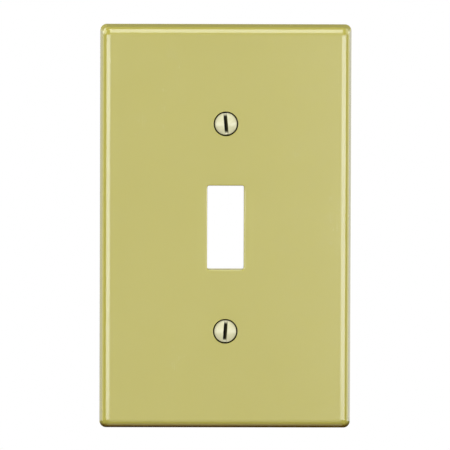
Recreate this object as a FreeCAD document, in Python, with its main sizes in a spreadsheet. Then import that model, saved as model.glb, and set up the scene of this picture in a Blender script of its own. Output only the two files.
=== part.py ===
"""One-gang toggle wall plate with its two captive screws.

Millimetres. +Z is up, +X is to the right of someone who faces the plate, and its face looks
along -Y. The origin is the centre of the rear rim's plane, where the plate meets the wall.
"""

import FreeCAD, Part
import os
import re

from FreeCAD import Placement, Rotation, Vector
import Sketcher

LENGTHS = {
    # plate: a standard one-gang cover, 2.87 x 4.63 inches
    "plate_width": 72.9,
    "plate_height": 117.6,
    "plate_depth": 6.0,
    "outline_radius": 2.6,
    "shoulder_radius": 2.4,
    "rim_width": 2.1,
    "hollow_depth": 3.8,
    "hollow_radius": 1.2,
    # ribs across the back
    "rib_height": 1.2,
    "rib_width": 1.1,
    "cross_rib_pitch": 32.0,
    "upright_rib_pitch": 17.0,
    # toggle opening, with a raised frame behind it
    "opening_width": 10.6,
    "opening_height": 24.4,
    "opening_corner": 0.5,
    "opening_lip": 0.4,
    "frame_wall": 1.5,
    "frame_height": 1.6,
    # countersunk screw holes, 2 3/8 inches apart as on every toggle switch's strap
    "screw_spacing": 60.325,
    "hole_radius": 2.05,
    "sink_radius": 3.575,
    "sink_land": 0.35,
    "boss_radius": 4.8,
    "boss_height": 2.2,
    # No. 6-32 x 1/2 inch oval-head screw, its length counted from the head's widest edge
    "thread_radius": 1.7525,
    "thread_pitch": 0.79375,
    "screw_length": 12.7,
    "tip_chamfer": 0.45,
    "head_radius": 3.3,
    "head_band": 0.12,
    "head_dome": 0.95,
    "slot_width": 1.2,
    "slot_depth": 1.22,
    "seat_gap": 0.05,
    # push-on fibre washer that keeps the screw captive
    "washer_radius": 4.5,
    "washer_thickness": 0.5,
    "washer_edge": 0.1,
    "running_gap": 0.04,
    "washer_stop_gap": 0.1,
}
ANGLES = {
    "side_draft": 9.0,
    "sink_angle": 82.0,
    "upper_slot_lean": 4.5,
    "lower_slot_lean": -4.0,
}
COUNTS = {"turns_out": 4, "cross_ribs": 4, "upright_ribs": 3}
# sizes that follow from the others
FORMULAS = {
    "sink_slope": "tan(sink_angle * 0.5 * 1deg)",
    "head_edge_depth": "sink_land + (sink_radius - head_radius) / sink_slope - seat_gap",
    "head_cone_length": "(head_radius - thread_radius) / sink_slope",
    "head_rise": "head_band + head_dome",
    "screw_travel": "turns_out * thread_pitch",
    "washer_front": "boss_height - hollow_depth + screw_travel + washer_stop_gap",
}
ALIASES = {**LENGTHS, **ANGLES, **COUNTS, **FORMULAS}
SAME = 0.01  # two lengths that differ by less than this are the same length

doc = FreeCAD.newDocument("toggle_wall_plate")


def make_sizes():
    """The spreadsheet of driving dimensions: names in column A, values in column B."""
    sizes = doc.addObject("Spreadsheet::Sheet", "Sizes")
    for row, (name, entry) in enumerate(ALIASES.items(), start=1):
        sizes.set(f"A{row}", name)
        sizes.setAlias(f"B{row}", name)
        sizes.set(f"B{row}", "=" + entry if name in FORMULAS else str(entry))
    doc.recompute()
    return sizes


sheet = make_sizes()


def formula(text):
    """The text with each size's name written as a reference to the spreadsheet."""
    return re.sub(r"[a-z_]+", lambda m: "Sizes." + m[0] if m[0] in ALIASES else m[0], text)


def value(text):
    """What a formula comes to now."""
    return float(sheet.evalExpression(formula(text)))


def bind(target, **formulas):
    """Bind properties of a feature to the spreadsheet's sizes."""
    for name, text in formulas.items():
        target.setExpression(name, formula(text))


def new_body(label):
    body = doc.addObject("PartDesign::Body", label)
    body.Label = label
    return body


def origin_item(body, role):
    return next(item for item in body.Origin.OriginFeatures if item.Role == role)


def new_sketch(body, name, plane, lift="0"):
    """A sketch on one of the body's own origin planes, lifted along the plane's normal."""
    sketch = body.newObject("Sketcher::SketchObject", name)
    sketch.AttachmentSupport = [(origin_item(body, plane), "")]
    sketch.MapMode = "FlatFace"
    sketch.setExpression("AttachmentOffset.Base.z", formula(lift))
    return sketch


def constrain(sketch, *description, name=None, text=None):
    """Add a constraint; with a name and a formula its size follows the spreadsheet."""
    number = sketch.addConstraint(Sketcher.Constraint(*description))
    if text:
        sketch.renameConstraint(number, name)
        sketch.setExpression("Constraints." + name, formula(text))


def place_point(sketch, line, end, name, along, out):
    """Fix a line's end at a distance along the sketch's level axis and out from it."""
    if along == "0":
        constrain(sketch, "PointOnObject", line, end, -2)
    else:
        constrain(sketch, "DistanceX", -1, 1, line, end, value(along), name=name + "_x", text=along)
    if out == "0":
        constrain(sketch, "PointOnObject", line, end, -1)
    else:
        constrain(sketch, "DistanceY", -1, 1, line, end, value(out), name=name + "_y", text=out)


def join_ends(sketch, first, count):
    """Join a closed loop of edges end to end."""
    for i in range(count):
        constrain(sketch, "Coincident", first + i, 2, first + (i + 1) % count, 1)


def add_rectangle(sketch, name, width, height, left=None, below=None):
    """A rectangle whose lower left corner lies left of and below the sketch's origin."""
    left = left or f"({width}) / 2"
    below = below or f"({height}) / 2"
    low = Vector(-value(left), -value(below), 0)
    across = Vector(value(width), 0, 0)
    upward = Vector(0, value(height), 0)
    corners = [low, low + across, low + across + upward, low + upward]
    first = sketch.GeometryCount
    for i in range(4):
        sketch.addGeometry(Part.LineSegment(corners[i], corners[(i + 1) % 4]), False)
        constrain(sketch, "Vertical" if i % 2 else "Horizontal", first + i)
    join_ends(sketch, first, 4)
    bottom, right = first, first + 1
    constrain(sketch, "DistanceX", bottom, 1, bottom, 2, across.x, name=name + "_wide", text=width)
    constrain(sketch, "DistanceY", right, 1, right, 2, upward.y, name=name + "_high", text=height)
    constrain(sketch, "DistanceX", bottom, 1, -1, 1, -low.x, name=name + "_left", text=left)
    constrain(sketch, "DistanceY", bottom, 1, -1, 1, -low.y, name=name + "_below", text=below)


def add_circle(sketch, name, radius, up="0"):
    """A circle centred on the sketch's upright axis."""
    centre = Vector(0, value(up), 0)
    circle = sketch.addGeometry(Part.Circle(centre, Vector(0, 0, 1), value(radius)), False)
    constrain(sketch, "Radius", circle, value(radius), name=name + "_radius", text=radius)
    place_point(sketch, circle, 3, name, "0", up)


def add_feature(body, kind, name, profile, **formulas):
    """A sketch-based feature of a body, with its sizes bound to the spreadsheet."""
    feature = body.newObject("PartDesign::" + kind, name)
    feature.Profile = profile
    bind(feature, **formulas)
    return feature


def cut_below_rim(body, name, profile, **formulas):
    """Pocket from the wall side towards the face; it must take material away."""
    before = body.Shape.Volume
    pocket = add_feature(body, "Pocket", name, profile, **formulas)
    pocket.Reversed = True
    if not formulas:
        pocket.Type = "ThroughAll"
    doc.recompute()
    assert body.Shape.Volume < before, name + " cut nothing"
    return pocket


def raise_from_roof(body, name, profile, height):
    """Pad from the hollow's roof towards the wall."""
    pad = add_feature(body, "Pad", name, profile, Length=height)
    pad.Reversed = True
    doc.recompute()
    return pad


def repeat(body, feature, axis, count, length):
    """Repeat a feature in a row along one axis of its own sketch."""
    pattern = body.newObject("PartDesign::LinearPattern", feature.Name + "Row")
    pattern.Originals = [feature]
    pattern.Direction = (feature.Profile[0], [axis])
    bind(pattern, Occurrences=count, Length=length)
    body.Tip = pattern
    doc.recompute()


def same(length, other):
    return abs(length - other) < SAME


def edges_where(feature, test):
    """The names of a feature's edges whose bounding box passes a test."""
    edges = enumerate(feature.Shape.Edges, start=1)
    return [f"Edge{i}" for i, edge in edges if test(edge.BoundBox)]


def round_edges(body, name, radius, test):
    """Fillet the edges of the body so far that pass a test."""
    base = body.Tip
    fillet = body.newObject("PartDesign::Fillet", name)
    fillet.Base = (base, edges_where(base, test))
    bind(fillet, Radius=radius)
    doc.recompute()


def make_slab(body):
    """The plate's outer form: drafted sides, rounded corners and a rolled shoulder."""
    outline = new_sketch(body, "Outline", "XZ_Plane")
    add_rectangle(outline, "plate", "plate_width", "plate_height")
    slab = add_feature(body, "Pad", "Slab", outline, Length="plate_depth", TaperAngle="-side_draft")
    doc.recompute()
    depth = value("plate_depth")
    assert same(slab.Shape.BoundBox.YMin, -depth), "the slab grew away from the face"
    round_edges(body, "OutlineCorners", "outline_radius", lambda box: same(box.YLength, depth))
    round_edges(body, "Shoulder", "shoulder_radius", lambda box: same(box.YMax, -depth))


def make_hollow(body):
    """The hollow behind the face; the rim left round it rests on the wall."""
    mouth = new_sketch(body, "HollowMouth", "XZ_Plane")
    width, height = "plate_width - 2 * rim_width", "plate_height - 2 * rim_width"
    add_rectangle(mouth, "hollow", width, height)
    cut_below_rim(body, "Hollow", mouth, Length="hollow_depth", TaperAngle="-side_draft")
    depth = value("hollow_depth")
    round_edges(body, "HollowCorners", "hollow_radius", lambda box: same(box.YLength, depth))


def make_ribs(body):
    """A lattice of low ribs that stiffens the back of the face."""
    cross = new_sketch(body, "CrossRib", "XZ_Plane", "hollow_depth")
    lowest = "(cross_ribs - 1) * cross_rib_pitch / 2 + rib_width / 2"
    add_rectangle(cross, "rib", "plate_width - 2 * rim_width", "rib_width", below=lowest)
    rib = raise_from_roof(body, "CrossRibs", cross, "rib_height")
    repeat(body, rib, "V_Axis", "cross_ribs", "(cross_ribs - 1) * cross_rib_pitch")

    upright = new_sketch(body, "UprightRib", "XZ_Plane", "hollow_depth")
    leftmost = "(upright_ribs - 1) * upright_rib_pitch / 2 + rib_width / 2"
    add_rectangle(upright, "rib", "rib_width", "plate_height - 2 * rim_width", left=leftmost)
    rib = raise_from_roof(body, "UprightRibs", upright, "rib_height")
    repeat(body, rib, "H_Axis", "upright_ribs", "(upright_ribs - 1) * upright_rib_pitch")


def make_toggle_opening(body):
    """The toggle's opening: a raised frame behind it and a soft lip in front."""
    surround = new_sketch(body, "FrameOutline", "XZ_Plane", "hollow_depth")
    width, height = "opening_width + 2 * frame_wall", "opening_height + 2 * frame_wall"
    add_rectangle(surround, "frame", width, height)
    raise_from_roof(body, "Frame", surround, "frame_height")
    opening = new_sketch(body, "OpeningOutline", "XZ_Plane")
    add_rectangle(opening, "opening", "opening_width", "opening_height")
    cut_below_rim(body, "ToggleOpening", opening)
    half_width = value("opening_width") / 2 + SAME
    half_height = value("opening_height") / 2 + SAME
    depth = value("plate_depth")

    def in_opening(box):
        across, upward = max(-box.XMin, box.XMax), max(-box.ZMin, box.ZMax)
        return across < half_width and upward < half_height

    def inner_corner(box):
        return in_opening(box) and same(box.XLength, 0) and same(box.ZLength, 0)

    def front_lip(box):
        return in_opening(box) and same(box.YMax, -depth)

    round_edges(body, "OpeningCorners", "opening_corner", inner_corner)
    round_edges(body, "OpeningLip", "opening_lip", front_lip)


def make_screw_holes(body):
    """A boss with a countersunk clearance hole, made at the top and mirrored to the bottom."""
    outline = new_sketch(body, "BossOutline", "XZ_Plane", "hollow_depth")
    add_circle(outline, "boss", "boss_radius", "screw_spacing / 2")
    boss = raise_from_roof(body, "Boss", outline, "boss_height")
    before = body.Shape.Volume
    mouth = new_sketch(body, "SinkMouth", "XZ_Plane", "plate_depth")
    add_circle(mouth, "sink", "sink_radius", "screw_spacing / 2")
    land = add_feature(body, "Pocket", "SinkLand", mouth, Length="sink_land")
    centre = new_sketch(body, "HoleCentre", "XZ_Plane", "plate_depth - sink_land")
    add_circle(centre, "hole", "hole_radius", "screw_spacing / 2")
    doc.recompute()
    hole = add_feature(body, "Hole", "ScrewHole", centre)
    hole.ThreadType = "None"
    hole.DepthType = "ThroughAll"
    hole.HoleCutType = "Countersink"
    hole.HoleCutCustomValues = True
    bind(hole, Diameter="2 * hole_radius", HoleCutDiameter="2 * sink_radius")
    bind(hole, HoleCutCountersinkAngle="sink_angle")
    doc.recompute()
    assert body.Shape.Volume < before, "the screw hole cut nothing"
    lower = body.newObject("PartDesign::Mirrored", "LowerScrewHole")
    lower.Originals = [boss, land, hole]
    lower.MirrorPlane = (origin_item(body, "XY_Plane"), [""])
    body.Tip = lower
    doc.recompute()


def make_wall_plate():
    body = new_body("wall_plate")
    make_slab(body)
    make_hollow(body)
    make_ribs(body)
    make_toggle_opening(body)
    make_screw_holes(body)


def arc_over_axis(top, foot):
    """An arc from a point on the level axis to a point off it, centred on that axis."""
    rise, reach = foot.x - top.x, foot.y
    radius = (rise * rise + reach * reach) / (2 * rise)
    centre = Vector(top.x + radius, 0, 0)
    middle = centre + ((top + foot) * 0.5 - centre).normalize() * radius
    return Part.Arc(foot, middle, top)


def add_screw_section(sketch):
    """Half section of the screw, whose axis is the sketch's level axis, from the dome's top."""
    corners = {
        "dome_top": ("0", "0"),
        "tip": ("head_rise + screw_length", "0"),
        "tip_edge": ("head_rise + screw_length", "thread_radius - tip_chamfer"),
        "shank_end": ("head_rise + screw_length - tip_chamfer", "thread_radius"),
        "shank_start": ("head_rise + head_cone_length", "thread_radius"),
        "widest_edge": ("head_rise", "head_radius"),
        "dome_foot": ("head_dome", "head_radius"),
    }
    points = [Vector(value(along), value(out), 0) for along, out in corners.values()]
    for start, end in zip(points, points[1:]):
        sketch.addGeometry(Part.LineSegment(start, end), False)
    dome = sketch.addGeometry(arc_over_axis(points[0], points[-1]), False)
    last = dome - 1
    for line in range(last):
        constrain(sketch, "Coincident", line, 2, line + 1, 1)
    line_ends = [(line, 1) for line in range(dome)] + [(last, 2)]
    for (line, end), (name, (along, out)) in zip(line_ends, corners.items()):
        place_point(sketch, line, end, name, along, out)
    constrain(sketch, "Coincident", dome, 1, last, 2)
    constrain(sketch, "Coincident", dome, 2, 0, 1)
    constrain(sketch, "PointOnObject", dome, 3, -1)


def make_screw(label, up, lean):
    """Oval-head slotted screw; the thread is drawn plain, at its outside diameter."""
    body = new_body(label)
    section = new_sketch(body, "Section", "YZ_Plane")
    add_screw_section(section)
    turned = body.newObject("PartDesign::Revolution", "Turned")
    turned.Profile = section
    turned.ReferenceAxis = (section, ["H_Axis"])
    turned.Angle = 360
    doc.recompute()
    before = body.Shape.Volume
    slot = new_sketch(body, "SlotOutline", "XZ_Plane")
    add_rectangle(slot, "slot", "slot_width", "3 * head_radius")
    add_feature(body, "Pocket", "Slot", slot, Length="slot_depth")
    doc.recompute()
    assert body.Shape.Volume < before, label + " has no slot"
    towards_viewer = Vector(0, -1, 0)
    body.Placement = Placement(Vector(0, 0, 0), Rotation(towards_viewer, value(lean)))
    body.setExpression("Placement.Rotation.Angle", formula(lean))
    body.setExpression("Placement.Base.y", formula("head_edge_depth - head_rise - plate_depth"))
    body.setExpression("Placement.Base.z", formula(up))


def make_washer(label, up):
    """Flat ring pushed over the screw's thread, standing clear behind the boss."""
    body = new_body(label)
    ring = new_sketch(body, "Ring", "XZ_Plane")
    add_circle(ring, "outside", "washer_radius")
    add_circle(ring, "bore", "thread_radius + running_gap")
    pad = add_feature(body, "Pad", "Disc", ring, Length="washer_thickness")
    pad.Reversed = True
    doc.recompute()
    diameter = value("2 * washer_radius")
    outer_rings = edges_where(pad, lambda box: same(box.YLength, 0) and same(box.XLength, diameter))
    chamfer = body.newObject("PartDesign::Chamfer", "OuterEdges")
    chamfer.Base = (pad, outer_rings)
    bind(chamfer, Size="washer_edge")
    body.setExpression("Placement.Base.y", formula("washer_front"))
    body.setExpression("Placement.Base.z", formula(up))


def check_document():
    """Raise if any object failed to compute, or if a sub-part has no sound shape."""
    for item in doc.Objects:
        failed = {"Invalid", "Error"} & set(item.State)
        assert not failed, f"{item.Name} is {failed}"
    for body in bodies():
        assert not body.Shape.isNull() and body.Shape.isValid(), body.Label + " is not sound"
        assert len(body.Shape.Solids) == 1, body.Label + " is not one solid"


def bodies():
    return [item for item in doc.Objects if item.TypeId == "PartDesign::Body"]


def write_steps():
    os.makedirs("parts", exist_ok=True)
    for body in bodies():
        body.Shape.exportStep(f"parts/{body.Label}.step")
        box = body.Shape.BoundBox
        low, high = (box.XMin, box.YMin, box.ZMin), (box.XMax, box.YMax, box.ZMax)
        corners = " to ".join(", ".join(f"{c:.3f}" for c in corner) for corner in (low, high))
        print(f"{body.Label}: {body.Shape.Volume:.1f} mm3, {corners}")


make_wall_plate()
for place, up in (("upper", "screw_spacing / 2"), ("lower", "-screw_spacing / 2")):
    make_screw(place + "_screw", up, place + "_slot_lean")
    make_washer(place + "_retaining_washer", up)
doc.recompute()
check_document()
write_steps()
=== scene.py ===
import math

import bmesh
import bpy
from mathutils import Matrix, Vector


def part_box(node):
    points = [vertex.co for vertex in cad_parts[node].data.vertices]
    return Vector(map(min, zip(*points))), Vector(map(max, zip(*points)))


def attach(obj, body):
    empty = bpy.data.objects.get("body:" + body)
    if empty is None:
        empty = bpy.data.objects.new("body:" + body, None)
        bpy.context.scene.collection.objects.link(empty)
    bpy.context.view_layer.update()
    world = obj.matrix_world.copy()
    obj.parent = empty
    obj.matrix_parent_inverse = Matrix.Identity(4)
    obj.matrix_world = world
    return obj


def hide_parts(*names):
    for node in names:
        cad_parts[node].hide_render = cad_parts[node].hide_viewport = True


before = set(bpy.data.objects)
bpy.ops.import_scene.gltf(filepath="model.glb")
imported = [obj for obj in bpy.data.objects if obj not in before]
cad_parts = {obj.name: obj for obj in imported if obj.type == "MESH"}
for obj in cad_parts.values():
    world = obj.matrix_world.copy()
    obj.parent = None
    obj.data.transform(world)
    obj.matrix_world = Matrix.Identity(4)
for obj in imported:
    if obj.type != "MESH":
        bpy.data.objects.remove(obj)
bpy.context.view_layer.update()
MM = 0.001
plate_low, plate_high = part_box("wall_plate")

# ---------------------------------------------------------------------------------------------
# The wall plate. One injection moulding in glossy ivory plastic: drafted sides rolled over into
# a flat face, a hollow back with ribs, a frame behind the toggle opening and two screw bosses.
# Two screws through its countersunk holes hold it to the switch.
# ---------------------------------------------------------------------------------------------
PLATE = {
    "Width": plate_high.x - plate_low.x,
    "Height": plate_high.z - plate_low.z,
    "Depth": -plate_low.y,
    "Draft": math.radians(9.0),
    "Corner": 1.95 * MM,
    "Shoulder": 2.4 * MM,
    "Rim": 2.1 * MM,
    "HollowDepth": 3.8 * MM,
    "RibHeight": 1.2 * MM,
    "RibWidth": 1.1 * MM,
    "CrossPitch": 32.0 * MM,
    "UprightPitch": 17.0 * MM,
    "OpeningWidth": 10.6 * MM,
    "OpeningHeight": 24.4 * MM,
    "OpeningLip": 0.4 * MM,
    "FrameWall": 1.5 * MM,
    "FrameHeight": 1.6 * MM,
    "ScrewSpacing": 60.325 * MM,
    "HoleRadius": 2.05 * MM,
    "SinkRadius": 3.575 * MM,
    "SinkLand": 0.35 * MM,
    "BossRadius": 4.8 * MM,
    "BossHeight": 2.2 * MM,
}
CROSS_RIBS = 4
UPRIGHT_RIBS = 3
SINK_HALF_ANGLE = math.radians(41.0)  # the 82 degree cone under an oval head
SHARPEST = 0.04 * MM  # the smallest corner radius where an edge's rounding uses it up
WELD = 0.0005 * MM  # points nearer than this are one point


class Quantity:
    """A number that flows through a node tree; arithmetic on it adds Math nodes."""

    def __init__(self, tree, socket):
        self.tree = tree
        self.socket = socket

    def math(self, operation, *others):
        node = self.tree.nodes.new("ShaderNodeMath")
        node.operation = operation
        for entry, item in zip(node.inputs, (self, *others)):
            feed(self.tree, entry, item)
        return Quantity(self.tree, node.outputs[0])

    def __add__(self, other):
        return self.math("ADD", other)

    def __sub__(self, other):
        return self.math("SUBTRACT", other)

    def __mul__(self, other):
        return self.math("MULTIPLY", other)

    def __truediv__(self, other):
        return self.math("DIVIDE", other)

    def __neg__(self):
        return self.math("MULTIPLY", -1.0)

    def towards(self, other, share):
        """This value where share is 0, the other where it is 1."""
        return self + (other - self) * share


def feed(tree, entry, item):
    """Give a node's input a value, or link it to a quantity or an output socket."""
    if isinstance(item, Quantity):
        tree.links.new(item.socket, entry)
    elif isinstance(item, bpy.types.NodeSocket):
        tree.links.new(item, entry)
    else:
        entry.default_value = item


def axes_of(tree, source):
    """The x, y and z of a vector, as quantities."""
    parts = add_node(tree, "ShaderNodeSeparateXYZ", Vector=source)
    return [Quantity(tree, parts.outputs[axis]) for axis in range(3)]


def new_tree(name, **sizes):
    """A geometry node tree with a named input for each size; returns it with its inputs."""
    tree = bpy.data.node_groups.new(name, "GeometryNodeTree")
    for size in sizes:
        tree.interface.new_socket(size, in_out="INPUT", socket_type="NodeSocketFloat")
    tree.interface.new_socket("Geometry", in_out="OUTPUT", socket_type="NodeSocketGeometry")
    entry = tree.nodes.new("NodeGroupInput")
    for item in tree.interface.items_tree:
        if item.in_out == "INPUT":
            item.default_value = sizes[item.name]
    given = {size: Quantity(tree, entry.outputs[size]) for size in sizes}
    return tree, given


def add_node(tree, kind, settings=(), **inputs):
    """A node of a tree, with its settings and its inputs given by name."""
    node = tree.nodes.new(kind)
    for name, choice in dict(settings).items():
        setattr(node, name, choice)
    for name, item in inputs.items():
        feed(tree, node.inputs[name.replace("_", " ")], item)
    return node


def end_tree(tree, geometry, material=None):
    """Close a tree: realize what repeats, set the material and hand the geometry out."""
    if material:
        geometry = add_node(tree, "GeometryNodeRealizeInstances", Geometry=geometry).outputs[0]
        geometry = add_node(
            tree, "GeometryNodeSetMaterial", Geometry=geometry, Material=material
        ).outputs[0]
    exit_node = tree.nodes.new("NodeGroupOutput")
    tree.links.new(geometry, exit_node.inputs["Geometry"])


def closed_skin(tree, geometry, place, inside_out=False):
    """Move a mesh's points to their places and close its seams and poles."""
    shaped = add_node(
        tree, "GeometryNodeSetPosition", Geometry=geometry, Position=place.outputs[0]
    )
    merged = add_node(
        tree, "GeometryNodeMergeByDistance", Geometry=shaped.outputs[0], Distance=WELD
    )
    if inside_out:
        return add_node(tree, "GeometryNodeFlipFaces", Mesh=merged.outputs[0]).outputs[0]
    return merged.outputs[0]


def moulded_block_tree(name, corner_steps, edge_steps):
    """A rounded rectangle carried from a back plane to a front plane, with draft on its sides
    and its back and front edges rounded. Round set to 1 makes it a round boss or hole. A
    negative FrontEdge flares the front outwards, and Past carries it straight on from there."""
    tree, given = new_tree(
        name, Width=1.0, Height=1.0, Back=0.0, Front=-1.0, Draft=0.0, Corner=0.1,
        BackEdge=0.0, FrontEdge=0.0, Past=0.0, Round=0.0,
    )
    around = 4 * corner_steps
    tube = add_node(tree, "GeometryNodeMeshCylinder", {"fill_type": "NGON"})
    tube.inputs["Vertices"].default_value = around
    tube.inputs["Side Segments"].default_value = 2 * edge_steps
    index = Quantity(tree, tree.nodes.new("GeometryNodeInputIndex").outputs[0])
    ring = (index / around).math("FLOOR")
    spot = index - ring * around
    quarter = (spot / corner_steps).math("FLOOR")
    turned_share = (spot - quarter * corner_steps) / (corner_steps - 1)
    angle = (quarter + turned_share) * (math.pi / 2)
    middle = (quarter + 0.5) * (math.pi / 2)
    right = middle.math("COSINE").math("SIGN")
    up = middle.math("SINE").math("SIGN")

    draft = given["Draft"]
    in_front = ring.math("GREATER_THAN", edge_steps - 0.5)
    progress = ((ring - in_front * edge_steps) / (edge_steps - 1)).math("MINIMUM", 1.0)
    back_lean = (progress * (draft + math.pi / 2)) * -1.0 + math.pi / 2
    front_lean = -draft - progress * (-draft + math.pi / 2)
    lean = back_lean.towards(front_lean, in_front)
    radius = given["BackEdge"].towards(given["FrontEdge"], in_front)
    back_centre = given["Back"] - given["BackEdge"]
    front_centre = given["Front"] + given["FrontEdge"].math("ABSOLUTE")
    centre = back_centre.towards(front_centre, in_front)

    def side(depth):
        return given["Width"] * 0.5 + (depth - given["Back"]) * draft.math("TANGENT")

    depth = centre + radius.math("ABSOLUTE") * lean.math("SINE")
    out = side(centre) - radius / draft.math("COSINE") + radius * lean.math("COSINE")
    corner = (given["Corner"] - side(depth) + out).math("MAXIMUM", SHARPEST)
    corner = corner.towards(out, given["Round"])
    across = right * (out - corner) + corner * angle.math("COSINE")
    taller = (given["Height"] - given["Width"]) * 0.5
    upward = up * (out + taller - corner) + corner * angle.math("SINE")
    last_ring = ring.math("GREATER_THAN", 2 * edge_steps - 0.5)
    place = add_node(
        tree, "ShaderNodeCombineXYZ", X=across, Y=depth - last_ring * given["Past"], Z=upward
    )
    end_tree(tree, closed_skin(tree, tube.outputs["Mesh"], place, inside_out=True))
    return tree


coarse_block = moulded_block_tree("moulded block", corner_steps=8, edge_steps=5)
fine_block = moulded_block_tree("fine moulded block", corner_steps=17, edge_steps=22)


def block(tree, kind=coarse_block, **sizes):
    """One moulded block inside another tree."""
    node = add_node(tree, "GeometryNodeGroup", {"node_tree": kind})
    for name, item in sizes.items():
        feed(tree, node.inputs[name], item)
    return node.outputs["Geometry"]


def choose(tree, index, values):
    """The value in the list at an index that varies over the mesh."""
    chooser = add_node(tree, "GeometryNodeIndexSwitch", {"data_type": "FLOAT"})
    while len(chooser.index_switch_items) < len(values):
        chooser.index_switch_items.new()
    feed(tree, chooser.inputs["Index"], index)
    for place, value in enumerate(values):
        feed(tree, chooser.inputs[place + 1], value)
    return Quantity(tree, chooser.outputs[0])


def turned(tree, profile, around, closed=False):
    """A solid of revolution about Y. The profile is (radius, depth) pairs from back to front,
    or round a closed section, such as a washer's, when closed is set."""
    rings = len(profile) + (1 if closed else 0)
    tube = add_node(
        tree, "GeometryNodeMeshCylinder", {"fill_type": "NONE" if closed else "NGON"}
    )
    tube.inputs["Vertices"].default_value = around
    tube.inputs["Side Segments"].default_value = rings - 1
    index = Quantity(tree, tree.nodes.new("GeometryNodeInputIndex").outputs[0])
    ring = (index / around).math("FLOOR")
    angle = (index - ring * around) * (2 * math.pi / around)
    station = ring.math("MODULO", len(profile))
    radius = choose(tree, station, [pair[0] for pair in profile])
    depth = choose(tree, station, [pair[1] for pair in profile])
    place = add_node(
        tree, "ShaderNodeCombineXYZ", X=radius * angle.math("COSINE"), Y=depth,
        Z=radius * angle.math("SINE"),
    )
    return closed_skin(tree, tube.outputs["Mesh"], place, inside_out=True)


def in_row(tree, geometry, count, start, step):
    """Copies of a geometry on a row of points; start and step are (x, y, z)."""
    first = add_node(tree, "ShaderNodeCombineXYZ", X=start[0], Y=start[1], Z=start[2])
    stride = add_node(tree, "ShaderNodeCombineXYZ", X=step[0], Y=step[1], Z=step[2])
    row = tree.nodes.new("GeometryNodeMeshLine")
    row.inputs["Count"].default_value = count
    tree.links.new(first.outputs[0], row.inputs["Start Location"])
    tree.links.new(stride.outputs[0], row.inputs["Offset"])
    copies = add_node(
        tree, "GeometryNodeInstanceOnPoints", Points=row.outputs[0], Instance=geometry
    )
    return add_node(tree, "GeometryNodeRealizeInstances", Geometry=copies.outputs[0]).outputs[0]


def combine(tree, operation, whole, *others):
    """Mesh Boolean: UNION, or DIFFERENCE that takes the others away from the whole."""
    node = tree.nodes.new("GeometryNodeMeshBoolean")
    node.operation = operation
    node.solver = "EXACT"
    if operation == "DIFFERENCE":
        tree.links.new(whole, node.inputs["Mesh 1"])
    else:
        others = (whole, *others)
    for item in others:
        tree.links.new(item, node.inputs["Mesh 2"])
    return node.outputs["Mesh"]


def grow(name, tree, **sizes):
    """Evaluate a tree with these sizes and keep the result as a plain mesh object."""
    seed = bpy.data.objects.new(name + "_seed", bpy.data.meshes.new(name + "_seed"))
    bpy.context.scene.collection.objects.link(seed)
    modifier = seed.modifiers.new("grow", "NODES")
    modifier.node_group = tree
    for item in tree.interface.items_tree:
        if item.in_out == "INPUT" and item.name in sizes:
            modifier[item.identifier] = sizes[item.name]
    evaluated = seed.evaluated_get(bpy.context.evaluated_depsgraph_get())
    mesh = bpy.data.meshes.new_from_object(evaluated)
    seed.modifiers.remove(modifier)
    bpy.data.objects.remove(seed)
    mesh.name = name
    piece = bpy.data.objects.new(name, mesh)
    bpy.context.scene.collection.objects.link(piece)
    return piece


def mask_group(name, inputs, outputs):
    """A shader node group with named inputs and outputs, ready to be filled."""
    group = bpy.data.node_groups.new(name, "ShaderNodeTree")
    for label, value in inputs.items():
        socket = group.interface.new_socket(
            label, in_out="INPUT", socket_type="NodeSocketFloat")
        socket.default_value = value
    for label in outputs:
        group.interface.new_socket(label, in_out="OUTPUT", socket_type="NodeSocketFloat")
    entry = group.nodes.new("NodeGroupInput")
    given = {label: Quantity(group, entry.outputs[label]) for label in inputs}
    return group, given, group.nodes.new("NodeGroupOutput")


def noise(tree, scale, detail=2.0, roughness=0.5, at=None):
    """Noise on the piece's own coordinates, as a value round 0.5."""
    if at is None:
        at = tree.nodes.new("ShaderNodeTexCoord").outputs["Object"]
    node = add_node(
        tree, "ShaderNodeTexNoise", Vector=at, Scale=scale, Detail=detail, Roughness=roughness
    )
    return Quantity(tree, node.outputs[0])


def ramp(value, low, high):
    """0 below low, 1 above high, smooth between."""
    tree = value.tree
    node = add_node(tree, "ShaderNodeMapRange", {"interpolation_type": "SMOOTHSTEP"},
                    Value=value, From_Min=low, From_Max=high)
    return Quantity(tree, node.outputs[0])


def blend_colours(tree, share, first, second):
    """The first colour where share is 0, the second where it is 1."""
    node = tree.nodes.new("ShaderNodeMix")
    node.data_type = "RGBA"
    feed(tree, node.inputs[0], share)
    feed(tree, node.inputs[6], first)
    feed(tree, node.inputs[7], second)
    return node.outputs[2]


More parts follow.
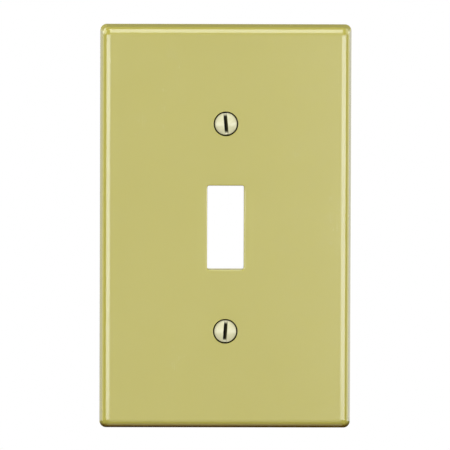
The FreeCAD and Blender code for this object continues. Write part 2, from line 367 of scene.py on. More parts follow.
def moulded_gloss_group():
    """What a glossy moulded or painted skin has: a faint orange peel, broad ripples, fine
    pores, uneven polish and small dark specks in the plastic."""
    group, given, out = mask_group(
        "moulded gloss",
        dict(PeelScale=900.0, RippleScale=60.0, SpeckScale=260.0, SpeckShare=0.5),
        ["Height", "Polish", "Tone", "Specks"],
    )
    peel = noise(group, given["PeelScale"], 3.0, 0.45)
    ripple = noise(group, given["RippleScale"], 1.0, 0.4)
    pores = noise(group, given["PeelScale"] * 6.0, 2.0, 0.6)
    height = peel * 0.35 + ripple * 1.6 + pores * 0.06
    polish = noise(group, given["RippleScale"] * 2.5, 5.0, 0.62) * 0.7 + pores * 0.3
    tone = noise(group, given["RippleScale"] * 0.45, 4.0, 0.55)
    at = group.nodes.new("ShaderNodeTexCoord").outputs["Object"]
    cells = add_node(group, "ShaderNodeTexVoronoi", {"feature": "F1"}, Vector=at,
                     Scale=given["SpeckScale"], Randomness=1.0)
    near = Quantity(group, cells.outputs["Distance"])
    chance = axes_of(group, cells.outputs["Color"])
    size = chance[1] * 0.055 + 0.012
    grain = ramp(-(near - size) / size, 0.0, 0.7)
    picked = chance[0].math("LESS_THAN", given["SpeckShare"])
    for label, value in dict(Height=height, Polish=polish, Tone=tone,
                             Specks=grain * picked).items():
        group.links.new(value.socket, out.inputs[label])
    return group


def scuff_group():
    """Fine scratches of handling and wiping, in a few directions, broken into short strokes."""
    group, given, out = mask_group("wiping scratches", dict(Density=0.5), ["Mask"])
    at = group.nodes.new("ShaderNodeTexCoord").outputs["Object"]
    total = None
    for turn, offset in ((0.35, 0.0), (-0.8, 3.1), (1.45, 7.7), (2.4, 1.9)):
        mapping = add_node(group, "ShaderNodeMapping", Vector=at)
        mapping.inputs["Rotation"].default_value = (0.0, turn, 0.0)
        mapping.inputs["Location"].default_value = (offset, 0.0, offset)
        mapping.inputs["Scale"].default_value = (1400.0, 60.0, 26.0)
        streak = noise(group, 1.0, 1.0, 0.5, at=mapping.outputs[0])
        line = ramp(-((streak - 0.5).math("ABSOLUTE")), -0.012, -0.002)
        patch = noise(group, 42.0, 2.0, 0.5) + noise(group, 310.0, 1.0, 0.5) * 0.5
        kept = ramp(patch - given["Density"] * -0.3, 0.98, 1.12)
        stroke = line * kept
        total = stroke if total is None else total.math("MAXIMUM", stroke)
    group.links.new(total.socket, out.inputs["Mask"])
    return group


def principled(material, **settings):
    """The material's own Principled BSDF with constants set on its sockets."""
    material.use_nodes = True
    tree = material.node_tree
    shader = tree.nodes["Principled BSDF"]
    for label, value in settings.items():
        shader.inputs[label.replace("_", " ")].default_value = value
    return tree, shader


def use_group(tree, group, **values):
    """Place a node group and give back its outputs as quantities."""
    node = add_node(tree, "ShaderNodeGroup", {"node_tree": group}, **values)
    return {out.name: Quantity(tree, out) for out in node.outputs}


def bumped(tree, shader, height, strength, distance):
    """Feed a height into the shader's normal."""
    node = add_node(tree, "ShaderNodeBump", Strength=strength, Distance=distance, Height=height)
    tree.links.new(node.outputs[0], shader.inputs["Normal"])


def colour_of(red, green, blue):
    return (red, green, blue, 1.0)


moulded_gloss = moulded_gloss_group()
wiping_scratches = scuff_group()

ivory = bpy.data.materials.new("glossy_ivory_plastic")
IVORY_DEEP = colour_of(0.366, 0.319, 0.0595)
IVORY_PALE = colour_of(0.389, 0.341, 0.0705)
IVORY_BACK = colour_of(0.42, 0.375, 0.085)
SPECK = colour_of(0.20, 0.15, 0.05)
# a warm brown for the painted shade on the lower edge
LOWER_SHADE_BROWN = colour_of(0.12, 0.052, 0.001)
# near black for the painted shade in the gaps round the screw heads
SHADE_BLACK = colour_of(0.010, 0.007, 0.002)
# Each pair says where a change in the finish starts and where it is complete.
BACK_STARTS = (-5.3 * MM, -3.9 * MM)  # behind the face
BACK_SIDES = (34.9 * MM, 34.6 * MM)  # from the middle, inside the side walls
BACK_ENDS = (57.2 * MM, 56.9 * MM)  # from the middle, inside the end walls
# where the painted shade on the lower edge starts and where it is complete
SHADED_LOWER_EDGE = (56.75 * MM, 57.95 * MM)  # below the middle, down the lower shoulder
OFF_THE_WALL = (0.1 * MM, 1.3 * MM)  # in front of the wall
# where the painted shade in the countersink's ring lies
SINK_SHADE = (0.75 * MM, 0.45 * MM)  # in from the countersink's edge
BELOW_FACE = (0.01 * MM, 0.15 * MM)  # down into the countersink


def from_screw_axis(x, z):
    """Distance from the axis of the nearer screw hole."""
    along = z.math("ABSOLUTE") - PLATE["ScrewSpacing"] / 2
    return (x * x + along * along).math("SQRT")


def finish_ivory():
    tree, shader = principled(ivory, IOR=1.5, Specular_IOR_Level=0.5)
    skin = use_group(tree, moulded_gloss, PeelScale=1100.0, RippleScale=55.0, SpeckScale=240.0,
                     SpeckShare=0.06)
    scratches = use_group(tree, wiping_scratches, Density=0.35)["Mask"]
    x, y, z = axes_of(tree, tree.nodes.new("ShaderNodeTexCoord").outputs["Object"])

    # the hidden back has a duller, etched finish
    hidden = ramp(y, *BACK_STARTS)
    for axis, (starts, complete) in ((x, BACK_SIDES), (z, BACK_ENDS)):
        hidden = hidden * ramp(-axis.math("ABSOLUTE"), -starts, -complete)
    shown = -hidden + 1.0
    colour = blend_colours(tree, skin["Tone"], IVORY_DEEP, IVORY_PALE)
    colour = blend_colours(tree, skin["Specks"] * 0.55, colour, SPECK)
    colour = blend_colours(tree, hidden * 0.5, colour, IVORY_BACK)

    # painted shade: the ring round each screw's head is darkened near black and made metallic so
    # that it stays dark, standing in for the shadow in the gap
    sink_edge = PLATE["SinkRadius"]
    from_axis = from_screw_axis(x, z)
    in_sink = ramp(-from_axis, -sink_edge - 0.05 * MM, -sink_edge + 0.01 * MM)
    in_sink = in_sink * ramp(from_axis, *(sink_edge - inward for inward in SINK_SHADE))
    painted_shade = in_sink * ramp(y, *(plate_low.y + down for down in BELOW_FACE))
    painted_shade = painted_shade * (noise(tree, 700.0, 3.0, 0.6) * 0.4 + 0.75).math("MINIMUM", 1.0)
    colour = blend_colours(tree, painted_shade * shown, colour, SHADE_BLACK)

    # painted shade: the lower edge is darkened towards a warm brown, as if little light reached it
    # from below
    lower_edge_shade = ramp(-z, *SHADED_LOWER_EDGE) * ramp(-y, *OFF_THE_WALL) * shown
    colour = blend_colours(tree, lower_edge_shade * 0.87, colour, LOWER_SHADE_BROWN)

    tree.links.new(colour, shader.inputs["Base Color"])
    feed(tree, shader.inputs["Metallic"], painted_shade * shown * 0.9)
    gloss = skin["Polish"] * 0.10 + 0.09 + scratches * 0.18 + painted_shade * 0.4
    matte = noise(tree, 420.0, 4.0, 0.6) * 0.2 + 0.42
    feed(tree, shader.inputs["Roughness"], gloss.towards(matte, hidden))
    etched = noise(tree, 2600.0, 3.0, 0.6) * 1.2
    height = skin["Height"] - scratches * 0.12
    bumped(tree, shader, height.towards(etched, hidden), 0.12, 0.05 * MM)


finish_ivory()

PAST = 1.0 * MM  # how far a cutter runs past the surface that it opens
BURIED = 0.5 * MM  # how deep a rib's root lies inside the face; each kind goes 0.1 mm deeper
STAGGER = 0.1 * MM
RIB_DRAFT = math.radians(-1.5)  # ribs and bosses narrow towards their tops


def wall_plate_tree():
    tree, size = new_tree("wall plate", **PLATE)
    front = -size["Depth"]
    roof = -size["HollowDepth"]
    buried = roof - BURIED
    blank = block(
        tree, fine_block, Width=size["Width"], Height=size["Height"], Front=front,
        Draft=size["Draft"], Corner=size["Corner"], BackEdge=0.15 * MM, FrontEdge=size["Shoulder"],
    )
    mouth_slack = size["Draft"].math("TANGENT") * (2 * PAST)
    inner_width = size["Width"] - size["Rim"] * 2 + mouth_slack
    inner_height = size["Height"] - size["Rim"] * 2 + mouth_slack
    hollow = block(
        tree, Width=inner_width, Height=inner_height, Back=PAST, Front=roof,
        Draft=size["Draft"], Corner=1.2 * MM, FrontEdge=0.4 * MM,
    )
    rib_top = roof + size["RibHeight"]
    rib_sizes = dict(Back=rib_top, Front=buried, Draft=RIB_DRAFT, Corner=0.3 * MM,
                     BackEdge=0.25 * MM)
    cross_rib = block(tree, Width=size["Width"], Height=size["RibWidth"], **rib_sizes)
    cross_ribs = in_row(
        tree, cross_rib, CROSS_RIBS, (0.0, 0.0, size["CrossPitch"] * ((1 - CROSS_RIBS) / 2)),
        (0.0, 0.0, size["CrossPitch"]),
    )
    rib_sizes.update(Back=rib_top - 0.03 * MM, Front=buried - STAGGER)
    upright_rib = block(tree, Width=size["RibWidth"], Height=size["Height"], **rib_sizes)
    upright_ribs = in_row(
        tree, upright_rib, UPRIGHT_RIBS,
        (size["UprightPitch"] * ((1 - UPRIGHT_RIBS) / 2), 0.0, 0.0),
        (size["UprightPitch"], 0.0, 0.0),
    )
    surround = block(
        tree, Width=size["OpeningWidth"] + size["FrameWall"] * 2, Front=buried - STAGGER * 2,
        Height=size["OpeningHeight"] + size["FrameWall"] * 2, Back=roof + size["FrameHeight"],
        Draft=RIB_DRAFT, Corner=0.8 * MM, BackEdge=0.3 * MM,
    )
    low_screw = (0.0, 0.0, size["ScrewSpacing"] * -0.5)
    screw_step = (0.0, 0.0, size["ScrewSpacing"])
    boss = block(
        tree, Width=size["BossRadius"] * 2, Height=size["BossRadius"] * 2, Round=1.0,
        Back=roof + size["BossHeight"], Front=buried - STAGGER * 3, Draft=RIB_DRAFT,
        BackEdge=0.3 * MM,
    )
    bosses = in_row(tree, boss, 2, low_screw, screw_step)
    core = combine(tree, "DIFFERENCE", hollow, cross_ribs, upright_ribs, surround, bosses)
    opening = block(
        tree, Width=size["OpeningWidth"], Height=size["OpeningHeight"], Back=PAST, Front=front,
        Corner=0.5 * MM, FrontEdge=-size["OpeningLip"], Past=PAST,
    )
    sink_depth = (size["SinkRadius"] - size["HoleRadius"]) / math.tan(SINK_HALF_ANGLE)
    land_floor = front + size["SinkLand"]
    lip = 0.08 * MM
    screw_hole = turned(
        tree,
        [
            (size["HoleRadius"], PAST),
            (size["HoleRadius"], land_floor + sink_depth),
            (size["SinkRadius"], land_floor),
            (size["SinkRadius"], front + lip),
            (size["SinkRadius"] + 0.3 * lip, front + 0.3 * lip),
            (size["SinkRadius"] + lip, front),
            (size["SinkRadius"] + lip, front - PAST),
        ],
        around=96,
    )
    screw_holes = in_row(tree, screw_hole, 2, low_screw, screw_step)
    plate = combine(tree, "DIFFERENCE", blank, core, opening, screw_holes)
    end_tree(tree, plate, ivory)
    return tree


plate = grow("ivory_wall_plate", wall_plate_tree(), **PLATE)


def smooth_mesh(piece, angle=math.radians(28.0)):
    """Smooth the rounded surfaces, keep real edges sharp and let the large flat faces decide
    the normals along their edges, so they shade flat."""
    rough_mesh = piece.data
    rough_mesh.shade_smooth()
    rough_mesh.set_sharp_from_angle(angle=angle)
    modifier = piece.modifiers.new("flat faces stay flat", "WEIGHTED_NORMAL")
    modifier.keep_sharp = True
    modifier.weight = 100
    evaluated = piece.evaluated_get(bpy.context.evaluated_depsgraph_get())
    finished = bpy.data.meshes.new_from_object(evaluated)
    piece.modifiers.remove(modifier)
    piece.data = finished
    bpy.data.meshes.remove(rough_mesh)
    finished.name = piece.name


smooth_mesh(plate)
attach(plate, "wall_plate")
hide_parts("wall_plate")


# ---------------------------------------------------------------------------------------------
# The two screws. No. 6-32 slotted oval heads in plated steel, the heads dipped in cream paint.
# The domed head is turned, the slot is sawn across it and the thread is rolled on the shank.
# ---------------------------------------------------------------------------------------------
SCREW = {
    "HeadRadius": 3.22 * MM,
    "HeadEdge": -5.384 * MM,
    "HeadBand": 0.12 * MM,
    "Dome": 0.95 * MM,
    "SlotWidth": 1.04 * MM,
    "SlotDepth": 1.22 * MM,
    "ConeFoot": -3.603 * MM,
    "NeckRadius": 1.70 * MM,
    "ThreadRadius": 1.7525 * MM,
    "ThreadDepth": 0.44 * MM,
    "ThreadStart": -3.0 * MM,
    "Pitch": 0.79375 * MM,
    "Tip": 7.316 * MM,
    "TipChamfer": 0.45 * MM,
}
PAINT_ENDS = 0.36 * MM  # behind the head's widest edge; from there on the steel is bare

cream_paint = bpy.data.materials.new("cream_paint_on_steel")
CREAM_DEEP = colour_of(0.57, 0.53, 0.315)
CREAM_PALE = colour_of(0.64, 0.60, 0.375)
CREAM_SPECK = colour_of(0.3, 0.25, 0.12)
CREAM_SCRATCHED = colour_of(0.5, 0.46, 0.3)
# painted shade for the slot's floor and painted light for its lit right wall
SLOT_SHADE_BLACK = colour_of(0.002, 0.0015, 0.001)
SLOT_LIT_OLIVE = colour_of(0.070, 0.060, 0.016)

plated_steel = bpy.data.materials.new("plated_steel")
STEEL_BRIGHT = colour_of(0.62, 0.62, 0.60)
STEEL_DULL = colour_of(0.46, 0.45, 0.41)
STEEL_STAIN = colour_of(0.16, 0.13, 0.09)


def stored_mask(tree, label):
    """A mask that the mesh carries as a named attribute."""
    node = tree.nodes.new("ShaderNodeAttribute")
    node.attribute_name = label
    return Quantity(tree, node.outputs["Fac"])


def finish_screw_paint():
    tree, shader = principled(cream_paint, IOR=1.5)
    skin = use_group(tree, moulded_gloss, PeelScale=2600.0, RippleScale=240.0,
                     SpeckScale=900.0, SpeckShare=0.05)
    scratches = use_group(tree, wiping_scratches, Density=0.55)["Mask"]
    colour = blend_colours(tree, skin["Tone"], CREAM_DEEP, CREAM_PALE)
    colour = blend_colours(tree, skin["Specks"] * 0.6, colour, CREAM_SPECK)
    colour = blend_colours(tree, scratches * 0.25, colour, CREAM_SCRATCHED)

    # painted shade in the slot: black on its left, and a lighter olive up its right bank painted
    # as its lit wall
    sawn = stored_mask(tree, "sawn")
    lit_bank = stored_mask(tree, "lit_bank")
    uneven = noise(tree, 1500.0, 3.0, 0.6) * 0.4 + 0.8
    slot_shade_colour = blend_colours(tree, lit_bank, SLOT_SHADE_BLACK, SLOT_LIT_OLIVE)
    colour = blend_colours(tree, (sawn * uneven * 1.3).math("MINIMUM", 1.0), colour, slot_shade_colour)

    # painted shade along the rim and under it, where the head meets the countersink
    x, y, z = axes_of(tree, tree.nodes.new("ShaderNodeTexCoord").outputs["Object"])
    edge = SCREW["HeadEdge"] - SCREW["HeadBand"]
    at_rim = ramp(from_screw_axis(x, z), SCREW["HeadRadius"] - 0.16 * MM,
                  SCREW["HeadRadius"] - 0.02 * MM)
    under_edge = ramp(y, SCREW["HeadEdge"] + 0.2 * MM, SCREW["HeadEdge"] + 0.5 * MM)
    painted_shade = ramp(y, edge - 0.02 * MM, edge + 0.05 * MM) * at_rim.math("MAXIMUM", under_edge)
    painted_shade = painted_shade * uneven.math("MINIMUM", 1.0)
    colour = blend_colours(tree, painted_shade, colour, SHADE_BLACK)

    tree.links.new(colour, shader.inputs["Base Color"])
    feed(tree, shader.inputs["Metallic"], painted_shade.math("MAXIMUM", sawn) * 0.85)
    dullness = scratches * 0.2 + sawn * 0.4 + painted_shade * 0.4
    feed(tree, shader.inputs["Roughness"], skin["Polish"] * 0.14 + 0.2 + dullness)
    bumped(tree, shader, skin["Height"] - scratches * 0.2, 0.15, 0.03 * MM)


def finish_plated_steel():
    tree, shader = principled(plated_steel, Metallic=1.0)
    skin = use_group(tree, moulded_gloss, PeelScale=3000.0, RippleScale=420.0,
                     SpeckScale=1600.0, SpeckShare=0.25)
    dulled = ramp(skin["Tone"], 0.35, 0.7)
    colour = blend_colours(tree, dulled, STEEL_BRIGHT, STEEL_DULL)
    colour = blend_colours(tree, skin["Specks"], colour, STEEL_STAIN)
    tree.links.new(colour, shader.inputs["Base Color"])
    feed(tree, shader.inputs["Roughness"], skin["Polish"] * 0.3 + 0.18 + skin["Specks"] * 0.2)
    bumped(tree, shader, skin["Height"], 0.2, 0.02 * MM)


finish_screw_paint()
finish_plated_steel()

# Across the head, from the slot's middle to the rim: how far out each line of the mesh runs
# (mm, drawn for the slot and head sizes below), how far it is rounded down, and how far it
# belongs to the slot's floor.
DRAWN_HALF_SLOT = 0.6
DRAWN_BANK = 0.745
DRAWN_RADIUS = 3.3
HEAD_LINES = [
    (0.00, 0.0, 1.0), (0.25, 0.0, 1.0), (0.42, 0.0, 0.99), (0.53, 0.0, 0.955),
    (0.585, 0.0, 0.87), (0.595, 0.0, 0.60), (0.60, 0.0, 0.30), (0.603, 0.11, 0.0),
    (0.615, 0.070, 0.0), (0.645, 0.034, 0.0), (0.69, 0.012, 0.0), (0.745, 0.003, 0.0),
    (0.83, 0.0, 0.0), (1.05, 0.0, 0.0), (1.4, 0.0, 0.0), (1.8, 0.0, 0.0), (2.2, 0.0, 0.0),
    (2.55, 0.0, 0.0), (2.82, 0.0, 0.0), (3.03, 0.0, 0.0), (3.17, 0.0, 0.0), (3.26, 0.0, 0.0),
    (3.3, 0.0, 0.0),
]
HEAD_ROWS = 45
RIM_ROLL = 0.14 * MM  # how far in from the rim the dome starts to roll over
RIM_DROP = 0.05 * MM  # how far it has rolled down at the rim
SLOT_DARKENS = (3.2 * MM, 1.7 * MM)  # from the head's axis, in from the slot's ends
# where the painted light on the slot's right bank comes in
SLOT_LIT_BANK = (-0.15 * MM, 0.62 * MM)  # across the slot, up its right bank


def screw_head(tree, size):
    """The oval head with its slot, its cone and its neck, as one closed skin."""
    lines = [(-out, drop, floor) for out, drop, floor in HEAD_LINES[:0:-1]] + HEAD_LINES
    grid = tree.nodes.new("GeometryNodeMeshGrid")
    grid.inputs["Vertices X"].default_value = len(lines)
    grid.inputs["Vertices Y"].default_value = HEAD_ROWS
    index = Quantity(tree, tree.nodes.new("GeometryNodeInputIndex").outputs[0])
    line = (index / HEAD_ROWS).math("FLOOR")
    row = index - line * HEAD_ROWS
    by_slot = [min(max(out, -DRAWN_BANK), DRAWN_BANK) for out, drop, floor in lines]
    by_rim = [out - near for (out, drop, floor), near in zip(lines, by_slot)]
    slot_scale = size["SlotWidth"] / (2 * DRAWN_HALF_SLOT)
    rim_scale = (size["HeadRadius"] - slot_scale * DRAWN_BANK) / (DRAWN_RADIUS - DRAWN_BANK)
    across = choose(tree, line, by_slot) * slot_scale + choose(tree, line, by_rim) * rim_scale
    drop = choose(tree, line, [drop * MM for out, drop, floor in lines])
    floor_share = choose(tree, line, [floor for out, drop, floor in lines])
    along = ((row / (HEAD_ROWS - 1) * 2.0 - 1.0) * (math.pi / 2)).math("SINE")

    radius = size["HeadRadius"]
    sphere = (radius * radius + size["Dome"] * size["Dome"]) / (size["Dome"] * 2)
    rim_depth = size["HeadEdge"] - size["HeadBand"]
    crown = rim_depth - size["Dome"]
    floor_depth = crown + size["SlotDepth"]
    cone_slope = math.tan(SINK_HALF_ANGLE)

    def outline(depth):
        return radius - (depth - size["HeadEdge"]).math("MAXIMUM", 0.0) * cone_slope

    end_depth = (drop + rim_depth).towards(floor_depth, floor_share)
    end_radius = outline(end_depth)
    reach = (end_radius * end_radius - across * across).math("MAXIMUM", 0.0).math("SQRT")
    upward = along * reach
    from_axis = (across * across + upward * upward).math("SQRT")
    bowl = sphere - (sphere * sphere - from_axis * from_axis).math("SQRT")
    rolled = ((from_axis - radius) / RIM_ROLL + 1.0).math("MAXIMUM", 0.0)
    dome_depth = bowl + crown + rolled * rolled * RIM_DROP + drop
    depth = dome_depth.math("MINIMUM", size["HeadEdge"]).towards(floor_depth, floor_share)
    place = add_node(tree, "ShaderNodeCombineXYZ", X=across, Y=depth, Z=upward)
    rim_x = across / radius
    rim_z = (-(rim_x * rim_x) + 1.0).math("MAXIMUM", 0.0).math("SQRT") * along.math("SIGN")
    rim_way = add_node(tree, "ShaderNodeCombineXYZ", X=rim_x, Z=rim_z)
    marked = add_node(
        tree, "GeometryNodeStoreNamedAttribute", {"data_type": "FLOAT_VECTOR", "domain": "POINT"},
        Geometry=grid.outputs["Mesh"], Name="rim_way", Value=rim_way.outputs[0],
    )
    # where the slot's painted shade lies, fading towards its ends
    sawn = floor_share * ramp(-from_axis, *(-inward for inward in SLOT_DARKENS))
    for label, value in (("sawn", sawn), ("lit_bank", ramp(across, *SLOT_LIT_BANK))):
        marked = add_node(
            tree, "GeometryNodeStoreNamedAttribute", {"data_type": "FLOAT", "domain": "POINT"},
            Geometry=marked.outputs[0], Name=label, Value=value,
        )
    skin = closed_skin(tree, marked.outputs[0], place)

    neighbours = tree.nodes.new("GeometryNodeInputMeshEdgeNeighbors")
    rim = Quantity(tree, neighbours.outputs[0]).math("LESS_THAN", 1.5).socket
    neck = size["NeckRadius"]
    rings = [
        (size["HeadEdge"], None),
        (size["HeadEdge"] + 0.34 * MM, None),
        (size["ConeFoot"] - 0.3 * MM, None),
        (size["ConeFoot"], neck + 0.06 * MM),
        (size["ConeFoot"] + 0.1 * MM, neck),
        (size["ThreadStart"] + 0.1 * MM, neck),
        (size["ThreadStart"] + 0.3 * MM, neck - 0.2 * MM),
        (size["ThreadStart"] + 0.31 * MM, 0.0),
    ]
    for ring_depth, ring_radius in rings:
        pulled = add_node(
            tree, "GeometryNodeExtrudeMesh", {"mode": "EDGES"}, Mesh=skin, Selection=rim,
            Offset_Scale=0.0,
        )
        rim = pulled.outputs["Top"]
        rim_points = Quantity(tree, rim)
        spot = tree.nodes.new("GeometryNodeInputPosition").outputs[0]
        now = axes_of(tree, spot)[1]
        stored = add_node(
            tree, "GeometryNodeInputNamedAttribute", {"data_type": "FLOAT_VECTOR"},
            Name="rim_way",
        )
        way = axes_of(tree, stored.outputs[0])
        still_in_front = rim_points * now.math("LESS_THAN", ring_depth)
        new_radius = outline(ring_depth) if ring_radius is None else ring_radius
        place = add_node(
            tree, "ShaderNodeCombineXYZ", X=way[0] * new_radius, Y=ring_depth,
            Z=way[2] * new_radius,
        )
        skin = add_node(
            tree, "GeometryNodeSetPosition", Geometry=pulled.outputs["Mesh"],
            Selection=still_in_front, Position=place.outputs[0],
        ).outputs[0]
    merged = add_node(tree, "GeometryNodeMergeByDistance", Geometry=skin, Distance=WELD)
    return add_node(
        tree, "GeometryNodeRemoveAttribute", Geometry=merged.outputs[0], Name="rim_way"
    ).outputs[0]


# One pitch of the rolled thread: the share of the pitch and the share of the thread's depth.
THREAD_FORM = [
    (0.0, 0.0), (0.125, 0.0), (0.31, 0.5), (0.49, 0.96), (0.56, 1.0), (0.63, 0.96), (0.81, 0.5),
]
THREAD_TURNS = 15
THREAD_AROUND = 40


def screw_thread(tree, size):
    """The threaded shank: lines of the mesh follow the helix and close into each other."""
    rows = len(THREAD_FORM) * THREAD_TURNS + 2
    grid = tree.nodes.new("GeometryNodeMeshGrid")
    grid.inputs["Vertices X"].default_value = THREAD_AROUND + 1
    grid.inputs["Vertices Y"].default_value = rows
    index = Quantity(tree, tree.nodes.new("GeometryNodeInputIndex").outputs[0])
    column = (index / rows).math("FLOOR")
    row = index - column * rows
    turn = column / THREAD_AROUND
    in_thread = (row - 1.0).math("MAXIMUM", 0.0)
    pitch_number = (in_thread / len(THREAD_FORM)).math("FLOOR")
    step = in_thread - pitch_number * len(THREAD_FORM)
    share = choose(tree, step, [place for place, cut in THREAD_FORM])
    cut = choose(tree, step, [cut for place, cut in THREAD_FORM])
    free_depth = size["ThreadStart"] + size["Pitch"] * (pitch_number + share + turn - 1.0)
    depth = free_depth.math("MAXIMUM", size["ThreadStart"]).math("MINIMUM", size["Tip"])
    run_in = ((depth - size["ThreadStart"]) / (size["Pitch"] * 1.6)).math("MINIMUM", 1.0)
    major = size["ThreadRadius"] - size["ThreadDepth"] * 0.5 * (-run_in + 1.0)
    radius = major - size["ThreadDepth"] * cut * run_in
    chamfer = size["ThreadRadius"] - size["TipChamfer"] + (size["Tip"] - depth) * 1.1
    radius = radius.math("MINIMUM", chamfer)
    first_row = row.math("LESS_THAN", 0.5)
    last_row = row.math("GREATER_THAN", rows - 1.5)
    radius = radius * (-first_row + 1.0) * (-last_row + 1.0)
    angle = turn * (2 * math.pi)
    place = add_node(
        tree, "ShaderNodeCombineXYZ", X=radius * angle.math("COSINE"), Y=depth,
        Z=radius * angle.math("SINE"),
    )
    return closed_skin(tree, grid.outputs["Mesh"], place, inside_out=True)


def screw_tree():
    tree, size = new_tree("oval head screw", SlotTurn=0.0, Height=0.0, **SCREW)
    head = screw_head(tree, size)
    thread = screw_thread(tree, size)
    whole = tree.nodes.new("GeometryNodeJoinGeometry")
    tree.links.new(thread, whole.inputs[0])
    tree.links.new(head, whole.inputs[0])
    turn = add_node(tree, "ShaderNodeCombineXYZ", Y=size["SlotTurn"])
    lift = add_node(tree, "ShaderNodeCombineXYZ", Z=size["Height"])
    placed = add_node(
        tree, "GeometryNodeTransform", Geometry=whole.outputs[0], Rotation=turn.outputs[0],
        Translation=lift.outputs[0],
    )
    realized = add_node(tree, "GeometryNodeRealizeInstances", Geometry=placed.outputs[0])
    painted = add_node(
        tree, "GeometryNodeSetMaterial", Geometry=realized.outputs[0], Material=cream_paint
    )
    spot = tree.nodes.new("GeometryNodeInputPosition").outputs[0]
    bare = axes_of(tree, spot)[1].math("GREATER_THAN", size["HeadEdge"] + PAINT_ENDS)
    finished = add_node(
        tree, "GeometryNodeSetMaterial", Geometry=painted.outputs[0], Selection=bare,
        Material=plated_steel,
    )
    end_tree(tree, finished.outputs[0])
    return tree


oval_head_screw = screw_tree()
SLOT_TURNS = {"upper": math.radians(-4.5), "lower": math.radians(4.0)}
for which, side in (("upper", 1), ("lower", -1)):
    screw = grow(
        which + "_oval_head_screw", oval_head_screw, SlotTurn=SLOT_TURNS[which],
        Height=side * PLATE["ScrewSpacing"] / 2, **SCREW,
    )
    smooth_mesh(screw, math.radians(35.0))
    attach(screw, which + "_screw")
    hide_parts(which + "_screw")


# ---------------------------------------------------------------------------------------------
# The retaining washers. A ring punched from red vulcanised fibre is pushed over each screw's
# thread behind the plate, so that the screw stays in its hole until the plate is fitted.
# ---------------------------------------------------------------------------------------------
WASHER = {
    "OuterRadius": 4.5 * MM,
    "Bore": 1.7925 * MM,
    "Front": 1.675 * MM,
    "Back": 2.175 * MM,
    "Rollover": 0.12 * MM,
    "Height": 0.0,
}
fibre = bpy.data.materials.new("vulcanised_fibre")
FIBRE_DARK = colour_of(0.11, 0.028, 0.018)
FIBRE_LIGHT = colour_of(0.23, 0.075, 0.045)
FIBRE_BLOTCH = colour_of(0.14, 0.05, 0.03)


def finish_fibre():
    tree, shader = principled(fibre, IOR=1.45, Sheen_Weight=0.15, Sheen_Roughness=0.5)
    at = tree.nodes.new("ShaderNodeTexCoord").outputs["Object"]
    stretched = add_node(tree, "ShaderNodeMapping", Vector=at)
    stretched.inputs["Scale"].default_value = (1.0, 6.0, 0.35)
    strands = noise(tree, 2400.0, 5.0, 0.65, at=stretched.outputs[0])
    blotches = noise(tree, 500.0, 3.0, 0.5)
    colour = blend_colours(tree, ramp(strands, 0.3, 0.7), FIBRE_DARK, FIBRE_LIGHT)
    colour = blend_colours(tree, ramp(blotches, 0.45, 0.75) * 0.5, colour, FIBRE_BLOTCH)
    tree.links.new(colour, shader.inputs["Base Color"])
    feed(tree, shader.inputs["Roughness"], strands * 0.3 + 0.5)
    bumped(tree, shader, strands + blotches * 0.6, 0.5, 0.03 * MM)


finish_fibre()


def washer_tree():
    tree, size = new_tree("retaining washer", **WASHER)
    outer, bore, front, back = (size[key] for key in ("OuterRadius", "Bore", "Front", "Back"))
    roll = size["Rollover"]
    ring = turned(
        tree,
        [
            (bore, back - roll * 0.3),
            (bore + roll * 0.3, back),
            (outer - roll * 0.5, back),
            (outer - roll * 0.1, back - roll * 0.2),
            (outer, back - roll * 0.6),
            (outer, front + roll * 1.2),
            (outer - roll * 0.25, front + roll * 0.5),
            (outer - roll * 0.8, front + roll * 0.1),
            (outer - roll * 1.4, front),
            (bore + roll, front),
            (bore + roll * 0.3, front + roll * 0.3),
            (bore, front + roll),
        ],
        around=72,
        closed=True,
    )
    lift = add_node(tree, "ShaderNodeCombineXYZ", Z=size["Height"])
    placed = add_node(tree, "GeometryNodeTransform", Geometry=ring, Translation=lift.outputs[0])
    end_tree(tree, placed.outputs[0], fibre)
    return tree


retaining_washer = washer_tree()
for which, side in (("upper", 1), ("lower", -1)):
    washer = grow(
        which + "_fibre_washer", retaining_washer,
        **{**WASHER, "Height": side * PLATE["ScrewSpacing"] / 2},
    )
    smooth_mesh(washer)
    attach(washer, which + "_washer")
    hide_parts(which + "_retaining_washer")


# ---------------------------------------------------------------------------------------------
# The studio. A pale paper floor well below the plate, a soft box at each side and one above,
# pale cards in front, panels beside and behind for the edges, and white surroundings. A long
# lens looks from in front, a little above and to the left.
# ---------------------------------------------------------------------------------------------
scene = bpy.context.scene
scene.view_settings.view_transform = "Standard"
scene.view_settings.look = "None"

FLOOR_RADIUS = 0.4
FLOOR_BELOW = 1.2
PAPER_DEEP = colour_of(0.70, 0.64, 0.52)
PAPER_PALE = colour_of(0.74, 0.68, 0.56)
floor_mesh = bpy.data.meshes.new("studio_floor")
bm = bmesh.new()
bmesh.ops.create_circle(bm, cap_ends=True, segments=96, radius=FLOOR_RADIUS)
bmesh.ops.translate(bm, verts=bm.verts, vec=(0.0, 0.0, -FLOOR_BELOW))
bm.to_mesh(floor_mesh)
bm.free()
floor = bpy.data.objects.new("studio_floor", floor_mesh)
scene.collection.objects.link(floor)
floor_paper = bpy.data.materials.new("pale_paper")
tree, shader = principled(floor_paper, Roughness=0.9)
paper = blend_colours(tree, noise(tree, 30.0, 4.0), PAPER_DEEP, PAPER_PALE)
tree.links.new(paper, shader.inputs["Base Color"])
floor_mesh.materials.append(floor_paper)

CAMERA_DISTANCE = 2.6
CAMERA_AZIMUTH = math.radians(1.0)
CAMERA_ELEVATION = math.radians(4.75)
CAMERA_ROLL = math.radians(0.2)
CAMERA_AIM = Vector((-0.00013, -0.003, 0.00055))
SENSOR_MM = 36.0
LENS_MM = 717.0


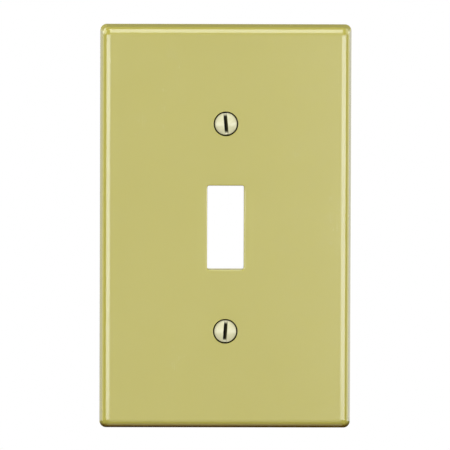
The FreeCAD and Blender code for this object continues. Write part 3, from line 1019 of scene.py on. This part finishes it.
def direction(azimuth, elevation):
    """Unit vector from the plate; azimuth 0 is straight in front, positive to the left."""
    return Vector((
        -math.sin(azimuth) * math.cos(elevation),
        -math.cos(azimuth) * math.cos(elevation),
        math.sin(elevation),
    ))


lens = bpy.data.cameras.new("studio_camera")
lens.sensor_width = SENSOR_MM
lens.lens = LENS_MM
camera = bpy.data.objects.new("studio_camera", lens)
scene.collection.objects.link(camera)
towards_camera = direction(CAMERA_AZIMUTH, CAMERA_ELEVATION)
camera.location = CAMERA_AIM + towards_camera * CAMERA_DISTANCE
turned_to_aim = (-towards_camera).to_track_quat("-Z", "Y").to_matrix().to_4x4()
roll = Matrix.Rotation(CAMERA_ROLL, 4, "Z")
camera.matrix_world = Matrix.Translation(camera.location) @ turned_to_aim @ roll
scene.camera = camera

# name: (azimuth, elevation, distance, width, height, brightness), angles in degrees
SOFT_BOXES = {
    "left_soft_box": (31.0, -4.0, 2.2, 2.15, 0.36, 8.8),
    "right_soft_box": (-35.5, -4.0, 2.2, 2.62, 0.36, 9.0),
    "top_soft_box": (-1.0, 61.0, 1.5, 0.42, 1.50, 6.8),
    "front_card": (-1.0, -2.5, 2.8, 0.90, 2.85, 1.7),
    "low_card": (-1.0, -37.0, 2.0, 0.90, 0.50, 1.5),
    "left_side_panel": (122.0, 0.0, 1.5, 1.20, 0.8, 1.2),
    "right_side_panel": (-122.0, 0.0, 1.5, 1.20, 0.8, 1.9),
    "left_high_panel": (105.0, 26.0, 1.5, 2.20, 1.3, 3.5),
    "right_high_panel": (-105.0, 26.0, 1.5, 2.20, 1.3, 2.1),
    "left_rear_panel": (160.0, 0.0, 1.5, 0.40, 0.5, 0.6),
    "right_rear_panel": (-160.0, 0.0, 1.5, 0.40, 0.5, 0.78),
    "white_sweep": (180.0, 5.0, 1.5, 0.50, 0.30, 1.0),
}
COOL_WHITE = (0.96, 1.0, 1.06)
for name, (azimuth, elevation, distance, width, height, brightness) in SOFT_BOXES.items():
    lamp = bpy.data.lights.new(name, "AREA")
    lamp.shape = "RECTANGLE"
    lamp.size = width
    lamp.size_y = height
    lamp.color = COOL_WHITE
    lamp.energy = brightness * math.pi * width * height
    box = bpy.data.objects.new(name, lamp)
    scene.collection.objects.link(box)
    way = direction(math.radians(azimuth), math.radians(elevation))
    box.location = way * distance
    box.rotation_euler = (-way).to_track_quat("-Z", "Y").to_euler()
    box.visible_camera = False

GLOOM_BELOW = colour_of(0.03, 0.02, 0.006)
GLOOM_ABOVE = colour_of(0.15, 0.15, 0.145)
WHITE = colour_of(1.0, 1.0, 1.0)
surroundings = bpy.data.worlds.new("white_studio")
scene.world = surroundings
surroundings.use_nodes = True
tree = surroundings.node_tree
background = tree.nodes["Background"]
seen = tree.nodes.new("ShaderNodeLightPath").outputs["Is Camera Ray"]
up = axes_of(tree, tree.nodes.new("ShaderNodeTexCoord").outputs["Generated"])[2]
gloom = blend_colours(tree, ramp(up, -0.15, 0.2), GLOOM_BELOW, GLOOM_ABOVE)
tree.links.new(blend_colours(tree, seen, gloom, WHITE), background.inputs["Color"])
